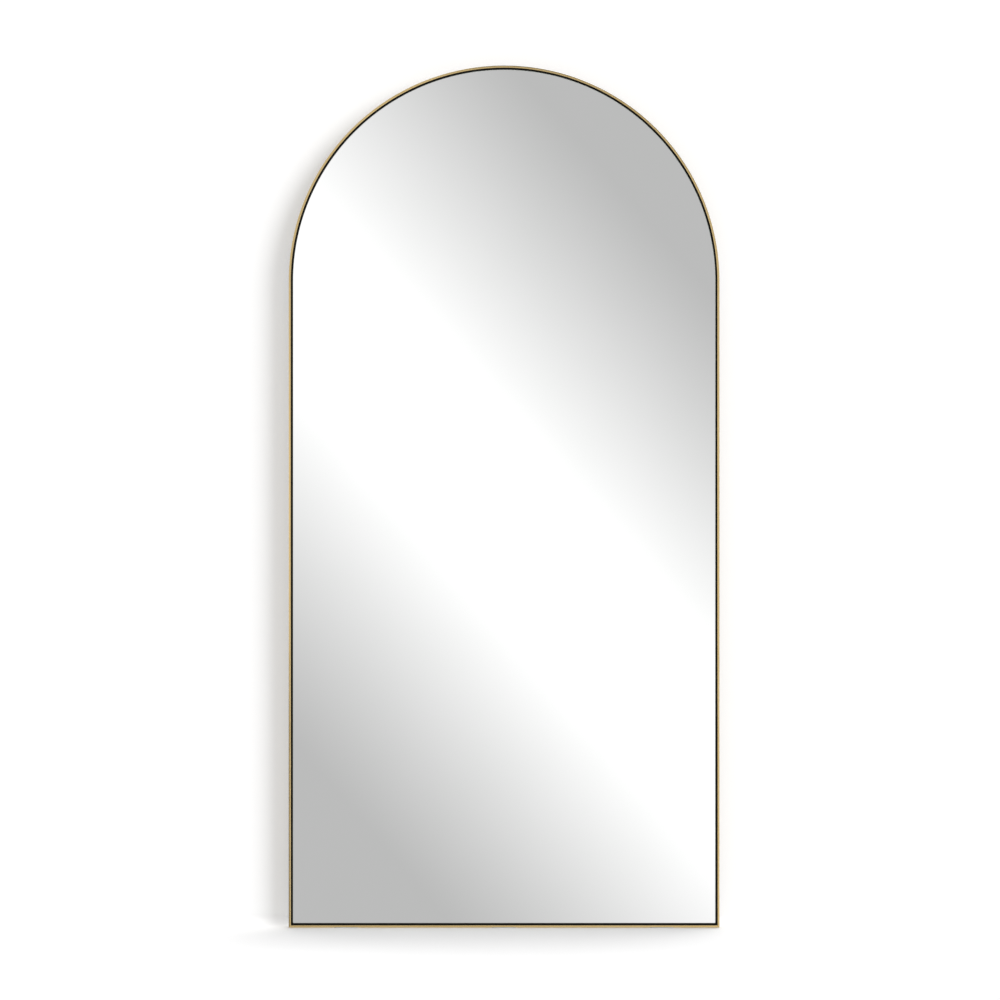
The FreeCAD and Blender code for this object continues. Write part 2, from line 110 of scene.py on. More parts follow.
def pick(kind, test):
    """Selects, in edit mode, the VERTs, EDGEs or FACEs that pass the test of their middle and themselves."""
    bpy.ops.mesh.select_mode(type=kind)
    bpy.ops.mesh.select_all(action="DESELECT")
    data = bpy.context.object.data
    mesh = bmesh.from_edit_mesh(data)
    for element in {"VERT": mesh.verts, "EDGE": mesh.edges, "FACE": mesh.faces}[kind]:
        corners = [element] if kind == "VERT" else element.verts
        middle = sum((corner.co for corner in corners), Vector()) / len(corners)
        if test(middle, element):
            element.select_set(True)
    mesh.select_flush_mode()
    bmesh.update_edit_mesh(data)


def near(a, b, reach=0.02 * mm):
    """Whether two lengths are the same, within a fiftieth of a millimetre."""
    return abs(a - b) < reach


def extrude(x=0.0, y=0.0, z=0.0):
    """Extrudes what is selected by that much."""
    bpy.ops.mesh.extrude_region_move(TRANSFORM_OT_translate={"value": (x, y, z)})


def move(x=0.0, y=0.0, z=0.0):
    """Moves what is selected by that much."""
    bpy.ops.transform.translate(value=(x, y, z))


def bisect(point, normal, only=None, **settings):
    """Cuts along a plane. clear_outer drops what lies on the normal's side."""
    pick("FACE", only or (lambda m, f: True))
    bpy.ops.mesh.bisect(plane_co=point, plane_no=normal, **settings)


def close(piece, merge=0.005 * mm, smooth_below=40):
    """Ends the edit: merges doubles, turns the faces outwards, and smooths what turns gently."""
    bpy.ops.mesh.select_all(action="SELECT")
    bpy.ops.mesh.remove_doubles(threshold=merge)
    bpy.ops.mesh.normals_make_consistent(inside=False)
    bpy.ops.object.mode_set(mode="OBJECT")
    bpy.ops.object.shade_smooth_by_angle(angle=math.radians(smooth_below))
    return piece


def copied(piece, name, scale=(1, 1, 1), shift=(0, 0, 0), turn=(0, 0, 0)):
    """A copy with its own mesh, mirrored, turned or moved, and with its faces outwards."""
    bpy.ops.object.select_all(action="DESELECT")
    twin = piece.copy()
    twin.data = piece.data.copy()
    twin.name = twin.data.name = name
    bpy.context.collection.objects.link(twin)
    twin.location, twin.scale, twin.rotation_euler = shift, scale, turn
    twin.select_set(True)
    bpy.context.view_layer.objects.active = twin
    bpy.ops.object.transform_apply(location=True, rotation=True, scale=True)
    if min(scale) < 0:
        bpy.ops.object.mode_set(mode="EDIT")
        close(twin)
    return twin


def stand_for(piece, *nodes, body="root", slot=None):
    """The piece takes the place of its nodes and rides on their body. Its slot argument is not used."""
    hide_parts(*nodes)
    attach(piece, body)
    mesh = bmesh.new()
    mesh.from_mesh(piece.data)
    open_edges = sum(not edge.is_manifold for edge in mesh.edges)
    low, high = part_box(nodes[0])
    off = max(abs(min(vert.co[i] for vert in mesh.verts) - low[i]) for i in range(3))
    off = max(off, max(abs(max(vert.co[i] for vert in mesh.verts) - high[i]) for i in range(3)))
    volume = 1e6 * mesh.calc_volume()
    print(f"{piece.name}: {volume:.2f} cm3, {open_edges} open edges, box {off / mm:.2f} mm off its node's")
    mesh.free()


# %% [markdown]
# The frame is one extruded aluminium section: a 2 mm wall, a nose that shows as the thin gold line from
# the front, and a flange that clamps the board from behind. It could be drawn as a curve with a bevel
# profile, but mitres and joints need a mesh. So the section starts as a plane of the wall, is cut where
# nose and flange leave it, and their edges are extruded inwards. Vertex bevels round its corners. The
# outer front corner is rounder than the rest, and it is what catches the light from the side.

# %% The frame's section
def draw_rail_section(name):
    """The section as flat faces, drawn at the left springing and left in edit mode."""
    middle = at(-half_width + wall / 2, rail_depth / 2, spring_z)
    piece = start("plane", name, middle, (wall, rail_depth, 1), size=1)
    for depth in (nose_thickness, flange_front, flange_back):
        bisect(at(0, depth, 0), (0, 1, 0))
    inner_x = -half_width + wall
    nose_middle = front_y + nose_thickness / 2
    flange_middle = front_y + (flange_front + flange_back) / 2
    pick("EDGE", lambda m, e: near(m.x, inner_x) and near(m.y, nose_middle))
    extrude(x=nose_width - wall)
    pick("EDGE", lambda m, e: near(m.x, inner_x) and near(m.y, flange_middle))
    extrude(x=flange_reach - wall)
    tips = [(nose_width, 0), (flange_reach, flange_front), (flange_reach, flange_back)]
    tips += [(wall, rail_depth), (0, rail_depth)]
    tips = [at(-half_width + inset, depth, spring_z) for inset, depth in tips]
    pick("VERT", lambda m, v: any((m - tip).length < 0.02 * mm for tip in tips))
    bpy.ops.mesh.bevel(offset=edge_round, segments=3, affect="VERTICES")
    outer_front = at(-half_width, 0, spring_z)
    pick("VERT", lambda m, v: (m - outer_front).length < 0.02 * mm)
    bpy.ops.mesh.bevel(offset=front_round, segments=6, affect="VERTICES")
    return piece


# %% [markdown]
# A brushed finish runs along the bar, round the arch as well, so a pattern on plain X, Y and Z would
# cross it. Each rail gets a UV map instead, in metres: U is the length along the bar and V goes round its
# section. The shader reads the streaks and the direction of the brushing from it.

# %% A UV map that follows the bar
def up_the_side(x, z):
    """Length along an upright rail, and inset, of a place on it."""
    return z, half_width - abs(x)


def along_the_foot(x, z):
    """Length along the foot rail, and inset, of a place on it."""
    return x, z - foot_z


def round_the_head(x, z):
    """Length round the head, and inset, of a place on it."""
    return half_width * math.atan2(z - spring_z, x), half_width - math.hypot(x, z - spring_z)


def lay_grain(piece, follow):
    """A UV map in metres: U as the rail runs, V round its section."""
    layer = piece.data.uv_layers.new(name="grain")
    for corner in piece.data.loops:
        x, y, z = piece.data.vertices[corner.vertex_index].co
        along, inset = follow(x, z)
        layer.data[corner.index].uv = (along, y - front_y - inset)
    return piece


# %% [markdown]
# The side is the section extruded down to the foot and cut at 45 degrees for its mitre, and the other
# side is its mirror image. The foot is the same bar laid down by a quarter turn and mitred at both ends.
# The head is the section spun half a turn round the arch's centre in small steps. A hairline stays open
# at each joint, as on a frame that is screwed together from four bars.

# %% Carry a section along the frame
arch_steps = 120
mitre_rise = joint_gap / math.sqrt(2)


def cut_mitre(side, rise, cut_upwards):
    """Cuts a bar at 45 degrees through one lower corner of the frame, dropping what is above or below."""
    normal = (side, 0, 1) if cut_upwards else (-side, 0, -1)
    corner = (side * half_width, 0, foot_z + rise)
    bisect(corner, normal, only=lambda m, f: m.x * side > -half_width / 2, clear_outer=True, use_fill=True)


def side_bar(draw, name):
    """The left side: the section extruded down, mitred at its foot."""
    piece = draw(name)
    bpy.ops.mesh.select_all(action="SELECT")
    move(z=-joint_gap)
    extrude(z=foot_z - spring_z)
    cut_mitre(-1, mitre_rise, cut_upwards=False)
    return close(piece)


def foot_bar(draw, name):
    """The foot: an upright bar laid down by a quarter turn, mitred at both ends."""
    upright = draw("upright_bar")
    bpy.ops.mesh.select_all(action="SELECT")
    extrude(z=-2 * half_width)
    close(upright)
    shift = (spring_z - half_width, 0, half_width + foot_z)
    piece = copied(upright, name, turn=(0, -math.pi / 2, 0), shift=shift)
    bpy.data.objects.remove(upright)
    bpy.ops.object.mode_set(mode="EDIT")
    for side in (-1, 1):
        cut_mitre(side, -mitre_rise, cut_upwards=True)
    return close(piece)


def spin(angle, steps, centre, axis):
    """Spins what is selected round an axis. The operator turns left-handed, so the angle changes sign."""
    bpy.ops.mesh.spin(steps=steps, angle=-angle, center=centre, axis=axis)


def head_bar(draw, name):
    """The half-round head: the section spun from the left springing over the crown."""
    piece = draw(name)
    bpy.ops.mesh.select_all(action="SELECT")
    spin(math.pi, arch_steps, (0, 0, spring_z), (0, 1, 0))
    return piece


# %% The four rails
left_side = side_bar(draw_rail_section, "left_side_frame")
right_side = copied(left_side, "right_side_frame", scale=(-1, 1, 1))
foot = foot_bar(draw_rail_section, "foot_frame")
head = close(head_bar(draw_rail_section, "arch_frame"))
for piece, node, follow in (
    (left_side, "left_side_rail", up_the_side),
    (right_side, "right_side_rail", up_the_side),
    (foot, "bottom_rail", along_the_foot),
    (head, "head_rail", round_the_head),
):
    lay_grain(piece, follow)
    stand_for(piece, node, slot="frame_metal")

# %% [markdown]
# Between the gold line and the glass runs a black rubber gasket: a stem that fills the gap and a lip
# caught behind the nose. From the front it is a black line as wide as the gold one. It is drawn and
# carried along the frame in the same way, but its head and both sides are one length, so the two ends
# of the spun head are extruded down to the mitres.

# %% The gasket
gasket_low, gasket_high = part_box("arch_gasket")
glass_low, glass_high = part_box("mirror_glass")
glass_inset = half_width - glass_high.x
lip_tip = half_width - gasket_high.x
lip_front = gasket_low.y - front_y
stem_back = gasket_high.y - front_y
lip_thickness = 1.9 * mm
gasket_face = 3.4 * mm
gasket_round = 0.25 * mm
board_inset = half_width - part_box("backing_board")[1].x


def draw_gasket_section(name):
    """The gasket's section as flat faces at the left springing, left in edit mode."""
    stem_x = -half_width + (nose_width + glass_inset) / 2
    stem_y = front_y + (gasket_face + stem_back) / 2
    size = (glass_inset - nose_width, stem_back - gasket_face, 1)
    piece = start("plane", name, (stem_x, stem_y, spring_z), size, size=1)
    lip_back = lip_front + lip_thickness
    step = nose_width + gasket_face - lip_front
    bisect(at(0, lip_back, 0), (0, 1, 0))
    bisect(at(-half_width + step, 0, 0), (1, 0, 0))
    nose_x = -half_width + nose_width
    pick("EDGE", lambda m, e: near(m.x, nose_x) and m.y < front_y + lip_back)
    extrude(x=lip_tip - nose_width)
    pick("VERT", lambda m, v: m.x < nose_x + joint_gap and near(m.y, front_y + gasket_face))
    move(y=lip_front - gasket_face)
    pick("VERT", lambda m, v: near(m.x, nose_x) and near(m.y, front_y + stem_back))
    move(x=board_inset - nose_width)
    corners = [at(-half_width + inset, gasket_face, spring_z) for inset in (step, glass_inset)]
    pick("VERT", lambda m, v: any((m - corner).length < 0.02 * mm for corner in corners))
    bpy.ops.mesh.bevel(offset=gasket_round, segments=2, affect="VERTICES")
    return piece


arch_gasket = head_bar(draw_gasket_section, "arch_seal")
for side in (-1, 1):
    pick("FACE", lambda m, f: near(m.z, spring_z) and m.x * side > 0 and abs(f.normal.z) > 0.99)
    extrude(z=foot_z - spring_z)
for side in (-1, 1):
    cut_mitre(side, mitre_rise, cut_upwards=False)
close(arch_gasket)
bottom_gasket = foot_bar(draw_gasket_section, "foot_seal")
stand_for(arch_gasket, "arch_gasket", slot="black_gasket")
stand_for(bottom_gasket, "bottom_gasket", slot="black_gasket")

# %% [markdown]
# The mirror is 5 mm float glass, silvered and painted on the back, with its edge ground and a small
# 45-degree arris that shows as a pale hairline against the gasket. It could be a lattice of quads, but
# it has to be dead flat to reflect well, so each face is one polygon: a circle cut in half, its straight
# edge extruded down, its corners rounded, and then a thickness and a bevel on both rims.

# %% The glass
glass_arris = 0.8 * mm
glass_corner = 2.0 * mm
settings = {"radius": glass_high.x, "vertices": 2 * arch_steps, "fill_type": "NGON"}
glass = start("circle", "silvered_glass", (0, glass_low.y, spring_z), turn=(math.pi / 2, 0, 0), **settings)
bisect((0, 0, spring_z), (0, 0, -1), clear_outer=True)
pick("EDGE", lambda m, e: near(m.z, spring_z) and near(m.x, 0))
extrude(z=glass_low.z - spring_z)
pick("EDGE", lambda m, e: near(m.z, spring_z) and near(m.x, 0))
bpy.ops.mesh.dissolve_edges(use_verts=False)
pick("VERT", lambda m, v: near(m.z, glass_low.z))
bpy.ops.mesh.bevel(offset=glass_corner, segments=6, affect="VERTICES")
bpy.ops.mesh.select_all(action="SELECT")
extrude(y=glass_high.y - glass_low.y)
pick("EDGE", lambda m, e: abs(e.verts[0].co.y - e.verts[1].co.y) < joint_gap)
bpy.ops.mesh.bevel(offset=glass_arris, segments=1, affect="EDGES")
close(glass, smooth_below=20)
stand_for(glass, "mirror_glass", slot="mirror_glass")

# %% [markdown]
# Behind the flange, L-shaped plates join the mitred corners and half-curved plates join the sides to the
# head. They are cut from 2 mm steel, so their outline is rounded first and then every edge is broken by
# a small bevel, which is what catches the light. One of each is modelled, and the other is mirrored.

# %% Joining plates
def break_edges(piece, width, segments=2):
    """A small bevel on every sharp edge, applied."""
    bpy.ops.object.select_all(action="DESELECT")
    piece.select_set(True)
    bpy.context.view_layer.objects.active = piece
    bevel = piece.modifiers.new("broken_edges", "BEVEL")
    bevel.width, bevel.segments, bevel.limit_method = width, segments, "ANGLE"
    bpy.ops.object.modifier_apply(modifier=bevel.name)
    bpy.ops.object.shade_smooth_by_angle(angle=math.radians(50))
    return piece


def runs_back(edge):
    """Whether an edge runs straight from front to back."""
    a, b = (vert.co for vert in edge.verts)
    return near(a.x, b.x) and near(a.z, b.z)


plate_round = 2.0 * mm
burr = 0.25 * mm
low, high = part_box("left_corner_plate")
plate_inset = low.x + half_width
plate_width = flange_reach - wall - 2 * (plate_inset - wall)
plate_thickness = high.y - low.y
elbow = (low.x + plate_width / 2, (low.y + high.y) / 2, low.z + plate_width / 2)
size = (plate_width, plate_thickness, plate_width)
corner_plate = start("cube", "left_corner_bracket", elbow, size, size=1)
pick("FACE", lambda m, f: f.normal.x > 0.9)
extrude(x=high.x - low.x - plate_width)
pick("FACE", lambda m, f: f.normal.z > 0.9 and m.x < low.x + plate_width)
extrude(z=high.z - low.z - plate_width)
seams = [(low.x + plate_width, low.z), (low.x, low.z + plate_width)]
pick("EDGE", lambda m, e: runs_back(e) and not any(near(m.x, x) and near(m.z, z) for x, z in seams))
bpy.ops.mesh.bevel(offset=plate_round, segments=4, affect="EDGES")
close(corner_plate)
break_edges(corner_plate, burr)
right_corner_plate = copied(corner_plate, "right_corner_bracket", scale=(-1, 1, 1))
stand_for(corner_plate, "left_corner_plate", slot="zinc_steel")
stand_for(right_corner_plate, "right_corner_plate", slot="zinc_steel")

low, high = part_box("left_splice_plate")
reach = spring_z - low.z
turned = reach / (half_width - (wall + flange_reach) / 2)
splice_x = -half_width + plate_inset + plate_width / 2
middle = (splice_x, (low.y + high.y) / 2, spring_z - reach / 2)
splice_plate = start("cube", "left_splice_bar", middle, (plate_width, plate_thickness, reach), size=1)
pick("FACE", lambda m, f: f.normal.z > 0.9)
spin(turned, 8, (0, 0, spring_z), (0, 1, 0))
pick("EDGE", lambda m, e: runs_back(e) and (near(m.z, low.z) or m.z > high.z - plate_round))
bpy.ops.mesh.bevel(offset=plate_round, segments=4, affect="EDGES")
close(splice_plate)
break_edges(splice_plate, burr)
right_splice_plate = copied(splice_plate, "right_splice_bar", scale=(-1, 1, 1))
stand_for(splice_plate, "left_splice_plate", slot="zinc_steel")
stand_for(right_splice_plate, "right_splice_plate", slot="zinc_steel")
print(f"splice plates: upper half turns {math.degrees(turned):.1f} degrees")

# %% [markdown]
# Two hangers hold the mirror to the wall when it is hung, or take a safety strap when it leans. Each is
# a steel strap, screwed to the board, whose end is rolled round the bar of a D-shaped ring. The eye is
# the strap's own end face spun most of a turn, so the seam where it curls back stays open, as on the
# pressed part. A torus cut in half would give the ring's bow, but not its square shoulders, so the ring
# is a round section extruded and spun along its path, which starts and ends in the eye.

# %% The hanger plates
strap_thickness = 1.5 * mm
strap_round = 4.0 * mm
eye_outer = 3.35 * mm
eye_turn = math.radians(305)
strap_burr = 0.2 * mm
pivots = {joint["child"]: Vector(joint["pos_m"]) for joint in frame["joints"]}
low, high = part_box("left_hanger_plate")
pivot = pivots["left_ring"]
eye_middle = eye_outer - strap_thickness / 2
middle = ((low.x + high.x) / 2, low.y + strap_thickness / 2, (low.z + pivot.z) / 2)
size = (high.x - low.x, strap_thickness, pivot.z - low.z)
hanger = start("cube", "left_hanger_strap", middle, size, size=1)
pick("EDGE", lambda m, e: runs_back(e) and near(m.z, low.z))
bpy.ops.mesh.bevel(offset=strap_round, segments=6, affect="EDGES")
bisect((0, 0, pivot.z - eye_outer), (0, 0, 1))
pick("FACE", lambda m, f: f.normal.z > 0.9 and near(m.z, pivot.z))
move(y=pivot.y - eye_middle - middle[1])
spin(eye_turn, 28, pivot, (-1, 0, 0))
close(hanger)
break_edges(hanger, strap_burr)
right_hanger = copied(hanger, "right_hanger_strap", scale=(-1, 1, 1))
stand_for(hanger, "left_hanger_plate", slot="zinc_steel")
stand_for(right_hanger, "right_hanger_plate", slot="zinc_steel")

# %% The D-rings
ring_low, ring_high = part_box("left_hanger_ring")
wire = (ring_high.y - ring_low.y) / 2
half_ring = (ring_high.x - ring_low.x) / 2 - wire
bend = 4.0 * mm
drop = pivot.z - ring_low.z - wire - half_ring
bar = half_ring - bend
settings = {"radius": wire, "vertices": 20, "fill_type": "NGON"}
ring = start("circle", "left_ring", pivot, turn=(0, math.pi / 2, 0), **settings)
extrude(x=bar)
spin(math.pi / 2, 10, (pivot.x + bar, 0, pivot.z - bend), (0, 1, 0))
extrude(z=bend - drop)
spin(math.pi, 48, (pivot.x, 0, pivot.z - drop), (0, 1, 0))
extrude(z=drop - bend)
spin(math.pi / 2, 10, (pivot.x - bar, 0, pivot.z - bend), (0, 1, 0))
extrude(x=bar)
pick("FACE", lambda m, f: near(m.x, pivot.x) and abs(f.normal.x) > 0.99)
bpy.ops.mesh.delete(type="ONLY_FACE")
close(ring)
right_ring = copied(ring, "right_ring", scale=(-1, 1, 1))
stand_for(ring, "left_hanger_ring", body="left_ring", slot="ring_steel")
stand_for(right_ring, "right_hanger_ring", body="right_ring", slot="ring_steel")

# %% [markdown]
# The frame is screwed together from behind, with 39 pan-head screws in two sizes. One of each size is
# modelled: a disc whose rim is bevelled into a dome, its underside inset and extruded into the shank,
# and a tapered cross cut into it by a boolean. Its shares are of the head's height or radius. The places
# are read from the nodes, one solid each. Each copy is turned by its own angle, as no one lines up the
# recesses of real screws.

# %% Where each solid of a node is
def solids_of(node):
    """The lowest and highest corner of each separate solid in a node."""
    mesh = bmesh.new()
    mesh.from_mesh(frame["nodes"][node].data)
    bmesh.ops.remove_doubles(mesh, verts=mesh.verts, dist=0.001 * mm)
    left = set(mesh.verts)
    boxes = []
    while left:
        island, edge_of_it = set(), [next(iter(left))]
        while edge_of_it:
            vert = edge_of_it.pop()
            if vert in left:
                left.remove(vert)
                island.add(vert)
                edge_of_it += [edge.other_vert(vert) for edge in vert.link_edges]
        places = [vert.co for vert in island]
        corners = [Vector([pick_one(co[i] for co in places) for i in range(3)]) for pick_one in (min, max)]
        boxes.append(corners)
    mesh.free()
    return sorted(boxes, key=lambda box: (round(box[0].z, 4), round(box[0].x, 4)))


# %% Screws
import random

screw_turns = random.Random(11)
dome_share = 0.68
point_share = 0.15
recess_length, recess_depth, recess_width = 1.24, 1.24, 0.26
recess_taper = 0.45


def pan_screw(name, rim, height, shank, length):
    """One screw with its seat at the origin and its head, of radius rim, towards +Y."""
    settings = {"radius": rim, "depth": height, "vertices": 32}
    screw = start("cylinder", name, (0, height / 2, 0), turn=(math.pi / 2, 0, 0), **settings)
    pick("EDGE", lambda m, e: near(e.verts[0].co.y, height) and near(e.verts[1].co.y, height))
    bpy.ops.mesh.bevel(offset=dome_share * height, segments=6, affect="EDGES")
    pick("FACE", lambda m, f: f.normal.y < -0.99)
    bpy.ops.mesh.inset(thickness=rim - shank)
    extrude(y=2 * shank - length)
    extrude(y=-2 * shank)
    bpy.ops.transform.resize(value=(point_share, 1, point_share), center_override=(0, -length, 0))
    close(screw)
    recess = (recess_length * rim, recess_depth * height, recess_width * rim)
    for turn in (0, math.pi / 2):
        slot = start("cube", "cutter", (0, height, 0), recess, turn=(0, turn, 0), size=1)
        pick("FACE", lambda m, f: f.normal.y < -0.99)
        bpy.ops.transform.resize(value=(recess_taper, 1, recess_taper), center_override=(0, 0, 0))
        close(slot)
        cut = screw.modifiers.new("recess", "BOOLEAN")
        cut.operation, cut.object = "DIFFERENCE", slot
        bpy.context.view_layer.objects.active = screw
        bpy.ops.object.modifier_apply(modifier=cut.name)
        bpy.data.objects.remove(slot)
    return screw


def drive_screws(screw, name, node):
    """A copy of the screw at each solid of the node, joined into one piece."""
    copies = []
    head_height = max(vert.co.y for vert in screw.data.vertices)
    for low, high in solids_of(node):
        seat = ((low.x + high.x) / 2, high.y - head_height, (low.z + high.z) / 2)
        turn = screw_turns.uniform(0, math.pi / 2)
        copies.append(copied(screw, name, shift=seat, turn=(0, turn, 0)))
    bpy.ops.object.select_all(action="DESELECT")
    for one in copies:
        one.select_set(True)
    bpy.context.view_layer.objects.active = copies[0]
    bpy.ops.object.join()
    copies[0].name = copies[0].data.name = name
    bpy.ops.object.shade_smooth_by_angle(angle=math.radians(35))
    stand_for(copies[0], node, slot="zinc_steel")
    return copies[0]


frame_screw = (3.5 * mm, 2.4 * mm, 1.75 * mm)
hanger_screw = (4.0 * mm, 2.6 * mm, 2.0 * mm)
screws = []
for node, (rim, height, shank) in {
    "flange_screws": frame_screw,
    "corner_plate_screws": frame_screw,
    "splice_plate_screws": frame_screw,
    "hanger_screws": hanger_screw,
}.items():
    low, high = solids_of(node)[0]
    screw = pan_screw("master", rim, height, shank, high.y - low.y - height)
    screws.append(drive_screws(screw, node.replace("_screws", "_fixings"), node))
    bpy.data.objects.remove(screw)

# %% [markdown]
# Four rubber bumpers keep the back off the wall and three low pads keep the foot off the floor. Both are
# moulded with a stem that is pushed into a hole. A bumper is a cone with a rounded rim and a dished face;
# a pad is a flat block with round corners and a rim round its sole. One of each is modelled and copied.

# %% Bumpers and feet
def press_stem(thickness, radius, x=0.0, y=0.0, z=0.0):
    """Narrows the selected end face and draws the stem out of it."""
    bpy.ops.mesh.inset(thickness=thickness - radius)
    extrude(x, y, z)


stem_radius = 2.5 * mm
bumper_base = 6.5 * mm
bumper_face = 5.5 * mm
bumper_lip = 1.6 * mm
dish_slope = 0.6 * mm
dish_depth = 0.7 * mm
low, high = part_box("top_left_bumper")
seat_y = front_y + flange_back
settings = {"radius1": bumper_base, "radius2": bumper_face, "depth": high.y - seat_y, "vertices": 48}
bumper = start("cone", "bumper", (0, (seat_y + high.y) / 2, 0), turn=(-math.pi / 2, 0, 0), **settings)
pick("EDGE", lambda m, e: near(e.verts[0].co.y, high.y) and near(e.verts[1].co.y, high.y))
bpy.ops.mesh.bevel(offset=edge_round, segments=4, affect="EDGES")
pick("FACE", lambda m, f: f.normal.y > 0.99 and near(m.y, high.y))
bpy.ops.mesh.inset(thickness=bumper_lip)
bpy.ops.mesh.inset(thickness=dish_slope)
move(y=-dish_depth)
pick("FACE", lambda m, f: f.normal.y < -0.99)
press_stem(bumper_base, stem_radius, y=low.y - seat_y)
close(bumper)
bumpers = []
for node in ("top_left_bumper", "top_right_bumper", "bottom_left_bumper", "bottom_right_bumper"):
    low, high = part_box(node)
    place = ((low.x + high.x) / 2, 0, (low.z + high.z) / 2)
    bumpers.append(copied(bumper, node.replace("_bumper", "_buffer"), shift=place))
    stand_for(bumpers[-1], node, slot="bumper_rubber")
bpy.data.objects.remove(bumper)

low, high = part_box("centre_foot")
foot_round = 5.0 * mm
sole_rim = 2.0 * mm
sole_step = 0.4 * mm
foot_burr = 0.2 * mm
barb_share = 1.35
foot_y = (low.y + high.y) / 2
size = (high.x - low.x, high.y - low.y, foot_z)
pad = start("cube", "pad", (0, foot_y, foot_z / 2), size, size=1)
pick("EDGE", lambda m, e: near(m.z, foot_z / 2))
bpy.ops.mesh.bevel(offset=foot_round, segments=8, affect="EDGES")
pick("FACE", lambda m, f: f.normal.z < -0.99)
bpy.ops.mesh.inset(thickness=sole_rim)
bpy.ops.mesh.inset(thickness=sole_step)
move(z=sole_step)
close(pad)
break_edges(pad, foot_burr)
settings = {"radius": stem_radius, "depth": high.z - foot_z, "vertices": 32}
barb = start("cylinder", "barb", (0, foot_y, (foot_z + high.z) / 2), **settings)
bisect((0, 0, foot_z + wall), (0, 0, 1))
pick("EDGE", lambda m, e: near(e.verts[0].co.z, foot_z + wall) and near(e.verts[1].co.z, foot_z + wall))
bpy.ops.transform.resize(value=(barb_share, barb_share, 1), center_override=(0, foot_y, foot_z + wall))
close(barb)
feet = []
for node in ("left_foot", "centre_foot", "right_foot"):
    low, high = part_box(node)
    place = ((low.x + high.x) / 2, 0, 0)
    feet.append(copied(pad, node.replace("_foot", "_pad"), shift=place))
    stem = copied(barb, "stem", shift=place)
    bpy.ops.object.select_all(action="DESELECT")
    feet[-1].select_set(True)
    stem.select_set(True)
    bpy.context.view_layer.objects.active = feet[-1]
    bpy.ops.object.join()
    stand_for(feet[-1], node, slot="bumper_rubber")
bpy.data.objects.remove(pad)
bpy.data.objects.remove(barb)

# %% [markdown]
# Every finish is a node material, built by one small function: it adds a node, sets its options, and
# fills each socket with a value or links another node's output to it. Where sockets share a name, they
# are given by number: a Mix node's factor is 0, its numbers are 2 and 3, and its colours are 6 and 7.
# Colours are sRGB hex values, as on a paint chart, turned linear, which is what shaders work in. A
# noise's scale is one over the real size of its features.

# %% Helpers for materials
def linear(hex_colour):
    """An sRGB hex colour as the linear RGBA that shaders use."""
    parts = [int(hex_colour[i : i + 2], 16) / 255 for i in (1, 3, 5)]
    return tuple(c / 12.92 if c <= 0.04045 else ((c + 0.055) / 1.055) ** 2.4 for c in parts) + (1.0,)


def add(tree, kind, inputs=None, take=0, **settings):
    """Adds a shader node, fills or links its sockets, and gives one of its outputs, by number or name."""
    node = tree.nodes.new("ShaderNode" + kind)
    for name, value in settings.items():
        setattr(node, name, value)
    for name, value in (inputs or {}).items():
        if isinstance(value, bpy.types.NodeSocket):
            tree.links.new(value, node.inputs[name])
        else:
            node.inputs[name].default_value = value
    return node.outputs[take] if node.outputs else None


def new_material(name):
    """A node material, its tree, and a node's output that gives a place in the object's own metres."""
    material = bpy.data.materials.new(name)
    material.use_nodes = True
    tree = material.node_tree
    tree.nodes.clear()
    return material, tree, add(tree, "TexCoord", take="Object")


def finish(material, *objects):
    """Gives the material to whole pieces or nodes."""
    for one in objects:
        one.data.materials.clear()
        one.data.materials.append(material)
    print(material.name, "on", len(objects))


# %% [markdown]
# The frame is aluminium, brushed along its length and anodised a pale champagne gold. Brushing leaves
# fine parallel scratches, so the metal is a little rougher across the bar than along it, and highlights
# spread sideways. The scratches could be an image; here they are a noise stretched along U of the grain
# map. Real scratches are under 0.1 mm wide and would not show, so they are drawn 0.7 mm wide. A long bar
# is also never quite flat or free of twist, so its reflection wanders along its length: a second bump,
# over 400 mm long and 2 mm high, turns the normal by half a degree or so.

# %% Brushed gold
scratch_width = 0.7 * mm
scratch_length = 90 * mm
tarnish_size = 160 * mm
twist_length = 420 * mm
twist_height = 2 * mm
mid_noise = {"From Min": 0.3, "From Max": 0.7}

brushed_gold, tree, place = new_material("brushed_gold_anodised_aluminium")
grain = add(tree, "UVMap", uv_map="grain")
drawn_out = add(tree, "Mapping", {"Vector": grain, "Scale": (1 / scratch_length, 1 / scratch_width, 1)})
scratches = add(tree, "TexNoise", {"Vector": drawn_out, "Scale": 1.0, "Detail": 3.0})
tarnish = add(tree, "TexNoise", {"Vector": place, "Scale": 1 / tarnish_size})
twist = add(tree, "TexNoise", {"Vector": place, "Scale": 1 / twist_length, "Detail": 1.0})
factor = add(tree, "MapRange", {"Value": scratches, **mid_noise})
colours = {0: factor, 6: linear("#C1A66E"), 7: linear("#D9C08C")}
tone = add(tree, "Mix", colours, take=2, data_type="RGBA")
factor = add(tree, "MapRange", {"Value": tarnish, "From Min": 0.35, "From Max": 0.7, "To Max": 0.35})
colours = {0: factor, 6: tone, 7: linear("#D5BF92")}
tone = add(tree, "Mix", colours, take=2, data_type="RGBA")
bent = add(tree, "Bump", {"Height": twist, "Distance": twist_height})
bent = add(tree, "Bump", {"Height": scratches, "Distance": 0.01 * mm, "Strength": 0.6, "Normal": bent})
metal = {
    "Base Color": tone,
    "Metallic": 1.0,
    "Roughness": add(tree, "MapRange", {"Value": scratches, **mid_noise, "To Min": 0.15, "To Max": 0.25}),
    "Anisotropic": 0.6,
    "Anisotropic Rotation": 0.25,
    "Tangent": add(tree, "Tangent", direction_type="UV_MAP", uv_map="grain"),
    "Normal": bent,
}
add(tree, "OutputMaterial", {"Surface": add(tree, "BsdfPrincipled", metal)})
finish(brushed_gold, left_side, right_side, foot, head)

